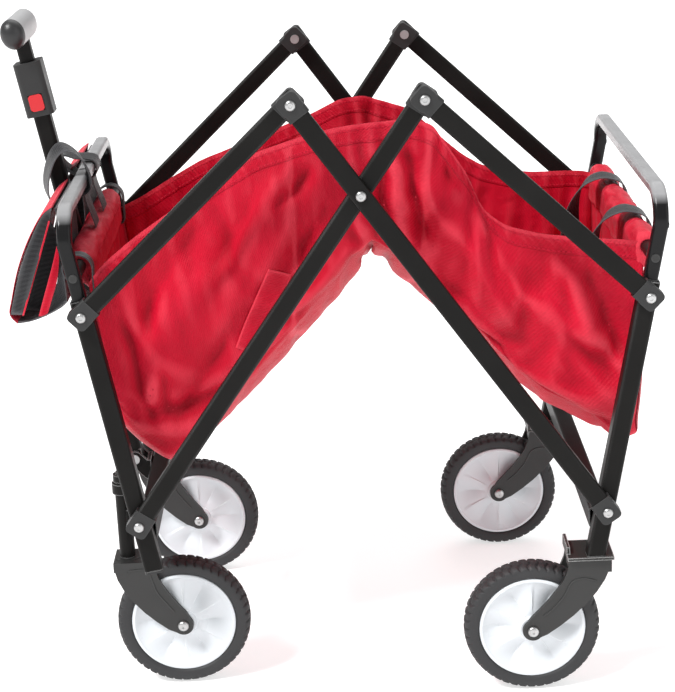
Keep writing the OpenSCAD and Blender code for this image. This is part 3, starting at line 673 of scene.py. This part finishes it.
def tub_grid():
    """Rows along the wagon; columns down the near wall, across the floor and up the far wall. Millimetres."""
    near, far, floor = (np.array([s[k] for s in STATIONS], float) for k in range(3))
    step = sum(np.linalg.norm(np.diff(p, axis=0), axis=1) for p in (near, floor)) / 2
    weights = np.concatenate([[0], np.cumsum(step)]) / step.sum()
    near, far, floor = (resample(p, weights, ALONG) for p in (near, far, floor))
    grid = np.zeros((ALONG, LAST + 1, 3))
    for j in range(LAST + 1):
        if DOWN <= j <= DOWN + ACROSS:
            s = -1 + 2 * (j - DOWN) / ACROSS
            edge = max(0.0, abs(s) - 0.86) / 0.14
            grid[:, j, 0], grid[:, j, 2] = floor[:, 0], floor[:, 1] + 9 * edge ** 2 - 3
            grid[:, j, 1] = s * (BAG_Y - 8)
        else:
            side, k = (-1, j) if j < DOWN else (1, LAST - j)
            t = k / DOWN
            top = near if side < 0 else far
            grid[:, j, [0, 2]] = top * (1 - t) + floor * t
            grid[:, j, 1] = side * (BAG_Y + 6 * math.sin(math.pi * t) - 8 * t ** 6)
    return grid


def press_folds(grid):
    """Seeds the folds: chosen ones on the near wall, noise on the far one, ruffles over the saddle."""
    flat = grid.reshape(-1, 3)
    x, y, z = flat.T
    push = np.zeros(len(flat))
    for *line, height, half in NEAR_FOLDS:
        t, d = along_fold(x, z, *line)
        push += height * np.exp(-(d / half) ** 2) * smooth_step(t, -0.2, 0.25) * smooth_step(t, 1.2, 0.75)
    column = np.tile(np.arange(LAST + 1), ALONG)
    depth = np.minimum(column, LAST - column) / DOWN
    on_wall = smooth_step(depth, 0.0, 0.2) * smooth_step(depth, 1.0, 0.8)
    row = np.arange(ALONG)
    ends = np.repeat(smooth_step(row, 0, 7) * smooth_step(ALONG - 1 - row, 0, 7), LAST + 1)
    far = y > 0
    drift = noise_at(flat / 1000 * np.array([1, 1, 0.45]), 17, 3) * 16
    push = np.where(far, drift, push * 0.9 + drift * 0.25) * on_wall * ends
    moved = flat.copy()
    moved[:, 1] += np.where(far, 1, -1) * -push * (depth < 1)
    floor_drift = noise_at(flat / 1000, 11, 5) * 7 * (depth >= 1) * ends
    moved[:, 2] += floor_drift
    ruffle = np.sin(x / 4.2 + 0.02 * z + 2 * noise_at(flat / 1000, 20, 8)) * np.exp(-((x - 22) / 34) ** 2)
    moved[:, 1] += np.sign(-y) * ruffle * 5 * (depth < 1) * on_wall
    moved[:, 2] += ruffle * 1.2 * (depth >= 1)
    return moved.reshape(grid.shape)


def crease(points):
    """Presses the sharper creases into the near wall after it has draped."""
    x, y, z = points.T
    push = np.zeros(len(points))
    for *line, height, half in NEAR_CREASES:
        t, d = along_fold(x, z, *line)
        d = np.abs(d + 2.5 * np.sin(6 * t))
        ridge = 1.2 * height * np.exp(-(d / half) ** 1.25)
        push += ridge * smooth_step(t, -0.25, 0.2) * smooth_step(t, 1.25, 0.8)
    out = points.copy()
    column = np.concatenate([np.tile(np.arange(LAST + 1), ALONG), np.full(len(points) - n_grid, LAST)])
    depth = np.clip(column / DOWN, 0, 1)
    keep = smooth_step(depth, 0.06, 0.2) * smooth_step(depth, 1.0, 0.9) * (column < DOWN)
    out[:, 1] -= push * keep
    return out


def end_wall(edge, base, first_index, bulge):
    """Points and faces that close the tub across one end; edge is that end's row of the grid."""
    points, index = [], np.zeros((DOWN + 1, ACROSS + 1), int)
    for k in range(DOWN + 1):
        left, right = edge[k], edge[LAST - k]
        for j in range(ACROSS + 1):
            if k == DOWN:
                index[k, j] = base + DOWN + j
            elif j == 0:
                index[k, j] = base + k
            elif j == ACROSS:
                index[k, j] = base + LAST - k
            else:
                s = j / ACROSS
                p = left * (1 - s) + right * s
                p[0] += bulge * 7 * math.sin(math.pi * s) ** 0.5 * math.sin(math.pi * k / DOWN)
                p[0] += 3 * math.sin(s * 31 + k * 0.05) * (1 - k / DOWN) * math.sin(math.pi * s)
                if k < 6:
                    lift = (1 - k / 6) * smooth_step(min(s, 1 - s), 0.02, 0.07)
                    p[2] += 8 * float(lift)
                    p[0] += bulge * 3 * float(lift)
                index[k, j] = first_index + len(points)
                points.append(p)
    faces = [(index[k, j], index[k, j + 1], index[k + 1, j + 1], index[k + 1, j])
             for k in range(DOWN) for j in range(ACROSS)]
    return np.array(points), faces, index


tub = tub_grid()
flat_u = np.concatenate([[0], np.cumsum(np.linalg.norm(np.diff(tub, axis=0), axis=2).mean(1))]) / 1000
flat_v = np.concatenate([[0], np.cumsum(np.linalg.norm(np.diff(tub, axis=1), axis=2).mean(0))]) / 1000
tub_uv = np.stack(np.meshgrid(flat_u, flat_v, indexing="ij"), -1).reshape(-1, 2)
down = np.linalg.norm(np.diff(tub, axis=1), axis=2).cumsum(1)
down = np.concatenate([np.zeros((ALONG, 1)), down], 1) / 1000
hem_dist = np.minimum(down, down[:, -1:] - down)
tub = press_folds(tub)
n_grid = ALONG * (LAST + 1)
front_pts, front_faces, front_index = end_wall(tub[0], 0, n_grid, -1)
rear_base = (ALONG - 1) * (LAST + 1)
rear_pts, rear_faces, rear_index = end_wall(tub[-1], rear_base, n_grid + len(front_pts), 1)
rear_faces = [f[::-1] for f in rear_faces]
shell = np.concatenate([tub.reshape(-1, 3), front_pts, rear_pts])
wall_uv = [np.stack([p[:, 1] / 1000 + 0.2, 0.6 - p[:, 2] / 1000], 1) for p in (front_pts, rear_pts)]
shell_uv = np.concatenate([tub_uv, *wall_uv])
hem_uv = [np.stack([np.repeat(flat_u, LAST + 1), hem_dist.ravel()], 1)]
for row, pts in ((0, front_pts), (-1, rear_pts)):
    hem_uv.append(np.stack([pts[:, 1] / 1000, np.repeat(down[row, :DOWN], ACROSS - 1)], 1))
hem_uv = np.concatenate(hem_uv)
tub_faces = [f[::-1] for f in grid_faces(ALONG, LAST + 1)]
# Seams lie clear of the saddle's blend, so the panels move as one there
SEAM_F = int(np.argmax(tub[:, :, 0].max(1) > -68)) - 1
SEAM_R = int(np.argmax(tub[:, :, 0].min(1) > 68))
face_rows = np.repeat(np.arange(ALONG - 1), LAST)
face_part = np.concatenate([np.searchsorted([SEAM_F, SEAM_R], face_rows, "right"),
                            np.zeros(len(front_faces), int), np.full(len(rear_faces), 2)])
shell_faces = np.array(tub_faces + front_faces + rear_faces)


def relax(points, faces, weight, rounds):
    """Evens out the points where their weight is above 0."""
    for _ in range(rounds):
        total, count = np.zeros_like(points), np.zeros((len(points), 1))
        for k in range(4):
            np.add.at(total, faces[:, k], points[faces[:, (k + 1) % 4]] + points[faces[:, (k + 3) % 4]])
            np.add.at(count, faces[:, k], 2)
        points = points + (total / np.maximum(count, 1) - points) * weight
    return points


def drape(points, faces, pins, growth, frames, cap):
    """Lets the cloth settle with a little spare length; pins maps a weight to vertex numbers. Metres."""
    mesh = bpy.data.meshes.new("drape")
    mesh.from_pydata([tuple(p) for p in points], [], [tuple(int(i) for i in f) for f in faces])
    obj = bpy.data.objects.new("drape", mesh)
    scene = bpy.context.scene
    scene.collection.objects.link(obj)
    group = obj.vertex_groups.new(name="pin")
    for weight, indices in pins:
        group.add([int(i) for i in indices], weight, "REPLACE")
    mod = obj.modifiers.new("cloth", "CLOTH")
    s = mod.settings
    s.quality = 5
    s.mass = 0.12
    s.air_damping = 3
    s.tension_stiffness = s.compression_stiffness = 18
    s.shear_stiffness = 6
    s.bending_stiffness = 0.35
    s.shrink_min = s.shrink_max = -growth
    s.vertex_group_mass = "pin"
    s.pin_stiffness = 1
    mod.collision_settings.use_collision = False
    mod.point_cache.frame_start, mod.point_cache.frame_end = 1, frames
    for f in range(1, frames + 1):
        scene.frame_set(f)
    done = obj.evaluated_get(bpy.context.evaluated_depsgraph_get()).data
    co = np.zeros(len(points) * 3)
    done.vertices.foreach_get("co", co)
    bpy.data.objects.remove(obj)
    scene.frame_set(1)
    move = co.reshape(-1, 3) - points
    far = np.linalg.norm(move, axis=1, keepdims=True)
    return points + move * np.minimum(1, cap / np.maximum(far, 1e-9))


ids = np.arange(n_grid).reshape(ALONG, LAST + 1)
hems = np.concatenate([ids[:, 0], ids[:, LAST], front_index[0], rear_index[0]])
floor_edges = np.concatenate([ids[:, DOWN], ids[:, DOWN + ACROSS], ids[0, DOWN:DOWN + ACROSS],
                              ids[-1, DOWN:DOWN + ACROSS]])
pins = [(1.0, hems), (0.85, floor_edges)]
shell = drape(shell / 1000, shell_faces, pins, 0.035, 26, 0.024) * 1000
corner = smooth_step(shell[:, 0], 288, 308) * smooth_step(shell[:, 2], 400, 350)
shell = crease(relax(shell, shell_faces, corner[:, None], 4))
shell = relax(shell, shell_faces, 0.45 * (hem_uv[:, 1:] > 0.012), 2)
wide = np.maximum(np.abs(shell[:, 1]) - SOFT_Y, 0)
shell[:, 1] -= np.sign(shell[:, 1]) * (wide - ROOM * np.tanh(wide / ROOM))


def vertex_normals(points, faces):
    a, b, c, d = (points[faces[:, k]] for k in range(4))
    n = np.cross(c - a, d - b)
    total = np.zeros_like(points)
    for k in range(4):
        np.add.at(total, faces[:, k], n)
    return total / np.maximum(np.linalg.norm(total, axis=1, keepdims=True), 1e-12)


CLOTH = 1.0
shell_normals = vertex_normals(shell, shell_faces)
inner = shell - shell_normals * CLOTH
BAG_PARTS = (("bag_front_fabric", "front_end", "front_struts", -320, -130, "bag_front"),
             ("bag_middle_fabric", "front_struts", "rear_struts", -60, 60, "bag_middle"),
             ("bag_rear_fabric", "rear_struts", "rear_end", 130, 320, "bag_rear"))
for part, (name, body_a, body_b, x0, x1, node) in enumerate(BAG_PARTS):
    faces = shell_faces[face_part == part]
    used, local = np.unique(faces, return_inverse=True)
    local = local.reshape(faces.shape)
    n = len(used)
    # Open edges belong to one face only; the rims join the outer and the inner skin there
    edges = np.concatenate([local[:, [k, (k + 1) % 4]] for k in range(4)])
    key = np.sort(edges, 1)
    _, first, count = np.unique(key, axis=0, return_index=True, return_counts=True)
    rim = edges[first[count == 1]]
    rims = np.stack([rim[:, 1], rim[:, 0], rim[:, 0] + n, rim[:, 1] + n], 1)
    points = np.concatenate([shell[used], inner[used]])
    world = to_world(points)
    uv = np.concatenate([shell_uv[used]] * 2)
    hem = np.concatenate([hem_uv[used]] * 2)
    obj = add_mesh(name, world, np.concatenate([local, local[:, ::-1] + n, rims]), "hem", uv=uv, hem=hem)
    outer = shell_normals[used]
    obj.data.normals_split_custom_set_from_vertices(np.concatenate([outer, -outer]))
    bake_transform(obj)
    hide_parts(node)
    cuts = flat_u[[0, SEAM_F, SEAM_R, ALONG - 1]]
    reach = cuts[part + 1] - cuts[part] + (0.2 if part != 1 else 0)


# ---- strap sewn to the near wall ----

NEAR = shell[np.arange(n_grid).reshape(ALONG, LAST + 1)[:, :DOWN + 1].ravel()]


def on_near_wall(x, z, lift):
    """The near wall's point at that place in the side plane, lifted off the cloth."""
    w = np.exp(-((NEAR[:, 0] - x) ** 2 + (NEAR[:, 2] - z) ** 2) / 60)
    return np.array([x, (w * NEAR[:, 1]).sum() / w.sum() - lift, z])


STRAP_EDGES = ([(-108, 536), (-124, 502), (-140, 468), (-151, 441)],
               [(-82, 524), (-97, 491), (-112, 456), (-124, 427)])
left_edge, right_edge = (np.array([on_near_wall(x, z, 2.2) for x, z in spline(edge, 40)])
                         for edge in STRAP_EDGES)
span = right_edge - left_edge
reach = np.linalg.norm(span, axis=1)
flap = strip("side_strap", (left_edge + right_edge) / 2, span / reach[:, None], reach, 2.0, "red")
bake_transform(flap)


# ---- padded sleeves ----

BAR_X, BAR_Z, BAR_R = 328.5, 540, 8


def sleeve_point(sign, angle, radius, tail):
    """A teardrop around a bar: round above, drawn down and inwards into the bag."""
    toward = np.array([-sign * 12, -28]) / math.hypot(12, 28)
    unit = np.array([math.cos(angle), math.sin(angle)])
    pull = math.exp(-(math.acos(max(-1, min(1, float(unit @ toward)))) / 0.55) ** 2)
    return unit * radius + toward * pull * tail


def add_sleeve(name, sign, half, body, node, loops, loop_half):
    rows, around = 121, 36
    ys = np.linspace(-half, half, rows)
    points = np.zeros((rows, around, 3))
    for i, y in enumerate(ys):
        near_loop = min((abs(abs(y) - c) for c in loops), default=200)
        held = 1 - float(smooth_step(near_loop, loop_half - 3, loop_half + 22))
        end = max(0.0, (abs(y) - half + 5) / 5)
        for j in range(around):
            a = 2 * math.pi * j / around
            spot = Vector((y * 0.020, math.cos(a) * 0.9 + sign * 4, math.sin(a) * 0.9))
            ripple = noise.noise(spot * 1.6) * 2.2 + noise.noise(spot * 4.5) * 0.9
            pucker = 0.9 * math.sin(5 * a + y * 0.35) * math.exp(-((near_loop - loop_half - 5) / 9) ** 2)
            radius = 15.2 + (1 - held) * (ripple + 1.0) + pucker - 1.6 * held
            radius += (9.5 - radius) * end ** 3
            px, pz = sleeve_point(sign, a, radius, 18 * (1 - end ** 2))
            points[i, j] = (sign * BAR_X + px, y, BAR_Z + pz)
    inner = points[[0, -1]].copy()
    for k in (0, 1):
        centre = np.array([sign * BAR_X, inner[k, 0, 1], BAR_Z])
        ray = inner[k] - centre
        inner[k] = centre + ray / np.linalg.norm(ray, axis=1, keepdims=True) * (BAR_R + 0.1)
    points = np.concatenate([inner[:1], points, inner[1:]])
    run = 2 * math.pi * 0.016 * np.arange(around) / around
    uv = np.stack(np.meshgrid(points[:, 0, 1] / 1000, run, indexing="ij"), -1).reshape(-1, 2)
    faces = grid_faces(rows + 2, around, False, True)
    # The inner wall along the bar closes the roll
    faces += [((rows + 1) * around + j, (rows + 1) * around + (j + 1) % around, (j + 1) % around, j)
              for j in range(around)]
    obj = add_mesh(name, to_world(points.reshape(-1, 3)), faces, "red", uv=uv)
    face_outwards(obj)
    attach(obj, body)
    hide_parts(node)


add_sleeve("front_sleeve_roll", -1, 168, "front_end", "front_sleeve", (179,), 11)
add_sleeve("rear_sleeve_roll", 1, 187, "rear_end", "rear_sleeve", (90,), 19)

# ---- webbing ----

# The rear loop is measured from its bar, the hoop's loops and tail like the rest
REAR_LOOP = [(-50, -84), (-53, -48), (-48, -12), (-35, 12), (-16, 22), (0, 20.5), (12, 14.5), (18.5, 2),
             (18, -13), (12, -27), (0, -37)]
SLACK_LOOP = [(-325, 618), (-331, 638), (-343, 651), (-356, 655), (-368, 643), (-377, 618), (-377, 597),
              (-368, 584), (-354, 588), (-341, 598), (-330, 605)]
TIGHT_LOOP = [(-324, 613), (-327, 622), (-336, 625), (-350, 626), (-363, 630), (-370, 624), (-364, 614),
              (-348, 603), (-336, 600), (-327, 604)]
TAIL = [(-331, 601), (-329, 590), (-324, 574), (-320, 560), (-321, 557)]
for side, sign in SIDES:
    line = side_line([(BAR_X + x, BAR_Z + z) for x, z in REAR_LOOP], sign * 90, 70)
    # The slack end inside the bag turns to face sideways
    turn = 0.85 * smooth_step(np.arange(70), 44, 0) + 0.12 * smooth_step(np.arange(70), 60, 20)
    turn = np.stack([np.sin(turn), np.cos(turn), np.zeros(70)], 1)
    line[:, 1] -= 7 * smooth_step(np.arange(70), 36, 0)
    cloth_strip("rear_end", f"rear_loop_{side}", line, turn, 38, 1.8, "webbing")
    ring = [sleeve_point(-1, a, 17.2, 20) for a in np.arange(24) * 2 * math.pi / 24]
    line = side_line([(-BAR_X + x, BAR_Z + z) for x, z in ring], sign * 177, 72, True)
    cloth_strip("front_end", f"front_ring_{side}", line, (0, 1, 0), 17, 1.8, "webbing", True)
    line = side_line(SLACK_LOOP if sign < 0 else TIGHT_LOOP, sign * 43, 90, True)
    turn = Vector((-0.30, 1, 0.12) if sign < 0 else (0, 1, 0)).normalized()
    cloth_strip("front_end", f"hoop_loop_{side}", line, turn, 38, 1.8, "webbing", True)
    line = side_line(TAIL, sign * 43, 26)
    cloth_strip("front_end", f"hoop_tail_{side}", line, (0, 1, 0), 34, 1.6, "webbing")
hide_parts("rear_straps")
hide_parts("front_straps")
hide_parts("hoop_straps")

# ---- cup pouches ----

FRONT_FACE = [(-352, 614), (-364, 604), (-379, 578), (-394, 543), (-406, 506), (-411, 488), (-404, 477)]
BOTTOM = [(-404, 477), (-388, 479), (-370, 485), (-352, 494), (-344, 501)]
BACK = [(-348, 612), (-346, 580), (-345, 540), (-344, 501)]
GUSSET = [(-356, 598), (-371, 556), (-396, 487)]
LINING = [(-350, 570), (-361, 535), (-379, 484)]


def side_panel(name, edge_a, edge_b, y, thick, bulge, material="black"):
    """A thin panel in the side plane between two edges, bulging outwards."""
    a, b = spline(edge_a, 34), spline(edge_b, 34)
    sign = math.copysign(1, y)
    mid = (a + b) / 2
    reach = np.linalg.norm(b - a, axis=1)
    t = np.linspace(0, 1, 34)
    line = np.stack([mid[:, 0], y + sign * bulge * np.sin(math.pi * t) + 1.2 * np.sin(7 * t), mid[:, 1]], 1)
    across = (b - a) / reach[:, None]
    across = np.stack([across[:, 0], np.zeros(34), across[:, 1]], 1)
    obj = strip(name, line, across, reach, thick, material)
    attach(obj, "front_end")


for side, sign in SIDES:
    mid, wide = sign * 109, 144
    for part, path, material in (("face", FRONT_FACE, "red"), ("base", BOTTOM, "black"),
                                 ("back", BACK, "black")):
        line = side_line(path, mid, 40)
        if part == "face":
            line[:, 0] -= 3 * np.sin(np.linspace(0, math.pi, 40))
        cloth_strip("front_end", f"pouch_{part}_{side}", line, (0, 1, 0), wide, 2.0, material)
    side_panel(f"pouch_gusset_{side}", FRONT_FACE[:-1], GUSSET, sign * 180, 1.8, 3)
    side_panel(f"pouch_lining_{side}", LINING, [(-349, 553), (-354, 525), (-369, 484)], sign * 178, 1.8, 1,
               "red")
    side_panel(f"pouch_back_side_{side}", [(-349, 566), (-354, 524), (-370, 484)],
               [(-345, 566), (-345, 530), (-344, 502)], sign * 176, 1.6, 1)
    side_panel(f"pouch_inner_{side}", [(-360, 590), (-378, 550), (-402, 484)],
               [(-348, 566), (-356, 530), (-374, 482)], sign * 150, 1.6, 0)
    trim = strip(f"pouch_piping_{side}", side_line(GUSSET, sign * 182, 30), (1, 0, 0), 2.2, 1.8, "red")
    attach(trim, "front_end")
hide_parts("cup_pouches")

# ---- bolts, fork ribs, slots and grip ----

DOME = [(0, 2.4), (1.1, 2.4), (1.8, 3.2), (3.0, 3.25), (4.4, 2.9), (5.5, 2.0), (6.05, 0.8), (6.05, -0.2),
        (0, -0.2)]
BOLTS = (("low_front", -274.1, 240, 242.9, "front_end"), ("scissor", 0, 629.2, 256.3, "front_struts"),
         ("top_rear", 73.1, 733, 256.9, "front_struts"), ("top_front", -73.1, 733, 256.6, "rear_struts"),
         ("low_rear", 274.1, 240, 256.6, "rear_struts"),
         ("post_front", -321, 498.8, 242.6, "front_link_pair"),
         ("post_rear", 321, 498.8, 256.6, "rear_link_pair"))
for side, sign in SIDES:
    for name, x, z, y, body in BOLTS:
        lathe(f"dome_{name}_{side}", (x, sign * y, z), sign, DOME, "bolt", body)
    for name, x, track, body in (("front", WHEEL_F, TRACK_F, f"caster_{side}"),
                                 ("rear", WHEEL_R, TRACK_R, "rear_end")):
        for out, face in ((-1, "in"), (1, "out")):
            dome = [(r * 1.1, h + 1.2) for r, h in DOME]
            lathe(f"axle_cap_{name}_{side}_{face}", (x, sign * track + out * 22.2, AXLE_Z), out, dome,
                  "bolt", body)

FRONT_RIB = [(-63, 72), (-60, 76), (-41, 77), (-37, 72), (-30, 48), (-21, 34), (-10, 19)]
REAR_RIB = [(76, 63), (60, 67), (46, 62), (37, 45), (25, 30), (12, 19)]


def arm_rib(name, points, x, y, out, body):
    """A raised rib along a fork's arm; the points are measured from the axle."""
    flat = spline([(x + a, AXLE_Z + b) for a, b in points], 48)
    line = np.stack([flat[:, 0], np.full(48, y + out * 0.2), flat[:, 1]], 1)
    tangent = np.gradient(line, axis=0)
    tangent /= np.linalg.norm(tangent, axis=1, keepdims=True)
    rib = strip(name, line, np.cross(tangent, (0, 1, 0)), 1.6, 1.4, "fork")
    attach(rib, body)


for side, sign in SIDES:
    for out in (-1, 1):
        tail = f"{side}_{out > 0}"
        arm_rib("front_rib_" + tail, FRONT_RIB, WHEEL_F, sign * TRACK_F + out * 22, out, f"caster_{side}")
        arm_rib("rear_rib_" + tail, REAR_RIB, WHEEL_R, sign * TRACK_R + out * 22, out, "rear_end")

for i, y in enumerate((-10, 32, 75)):
    line = np.array([(-341.5 + 11 * t, y + 3.5 * t * t, 620.15 - 0.6 * abs(2 * t - 1) ** 3)
                     for t in np.linspace(0, 1, 12)])
    wide = 3.6 * np.sin(np.linspace(0.35, math.pi - 0.35, 12)) + 1
    mark = strip(f"hoop_slot_{i}", line, (0, 1, 0), wide, 0.6, "dark")
    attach(mark, "front_end")


def add_grip():
    """T grip: an oval body along Y, pale grey for a painted reflection on the black grip, with black rounded
    ends.
    """
    centre = np.array([HINGE_X - GRIP_S * math.sin(LEAN), 0, HINGE_Z + GRIP_S * math.cos(LEAN)])
    half, rows, around = 63, 64, 48
    points = []
    for i in range(rows):
        s = -1 + 2 * i / (rows - 1)
        y = half * math.sin(s * math.pi / 2)
        nose = max(0.0, (abs(y) - half + 14) / 14)
        k = math.sqrt(max(0.0, 1 - min(1, nose) ** 2.2))
        step = 0.6 if abs(y) > half - 13 else 0.0
        for j in range(around):
            a = 2 * math.pi * j / around
            u, w = (14.8 - step) * k * math.cos(a), (18.2 - step) * k * math.sin(a)
            points.append((centre[0] + u * math.cos(LEAN) - w * math.sin(LEAN), y,
                           centre[2] + u * math.sin(LEAN) + w * math.cos(LEAN)))
    points = np.array(points)
    # The body gets the painted reflection; the rounded ends stay black.
    obj = add_mesh("grip_body", to_world(points), grid_faces(rows, around, False, True), "silver")
    obj.data.materials.append(M["grip"])
    for poly in obj.data.polygons:
        poly.material_index = int(abs(obj.data.vertices[poly.vertices[0]].co.y) > (half - 14) / 1000)
    face_outwards(obj, weld=True)
    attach(obj, "handle_slider")
    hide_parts("handle_grip")


add_grip()

# ---- floor ----

FLOOR_HALF, FLOOR_Z = 90, -0.0005
corners = [(x * FLOOR_HALF, y * FLOOR_HALF, FLOOR_Z) for x, y in ((-1, -1), (1, -1), (1, 1), (-1, 1))]
floor_mesh = bpy.data.meshes.new("studio_floor")
floor_mesh.from_pydata(corners, [], [(0, 1, 2, 3)])
floor = bpy.data.objects.new("studio_floor", floor_mesh)
bpy.context.scene.collection.objects.link(floor)
pale = Mat("studio_floor", (0.62, 0.62, 0.62), 0.9, Emission_Color=WHITE, Emission_Strength=0.62)
floor_mesh.materials.append(pale.mat)
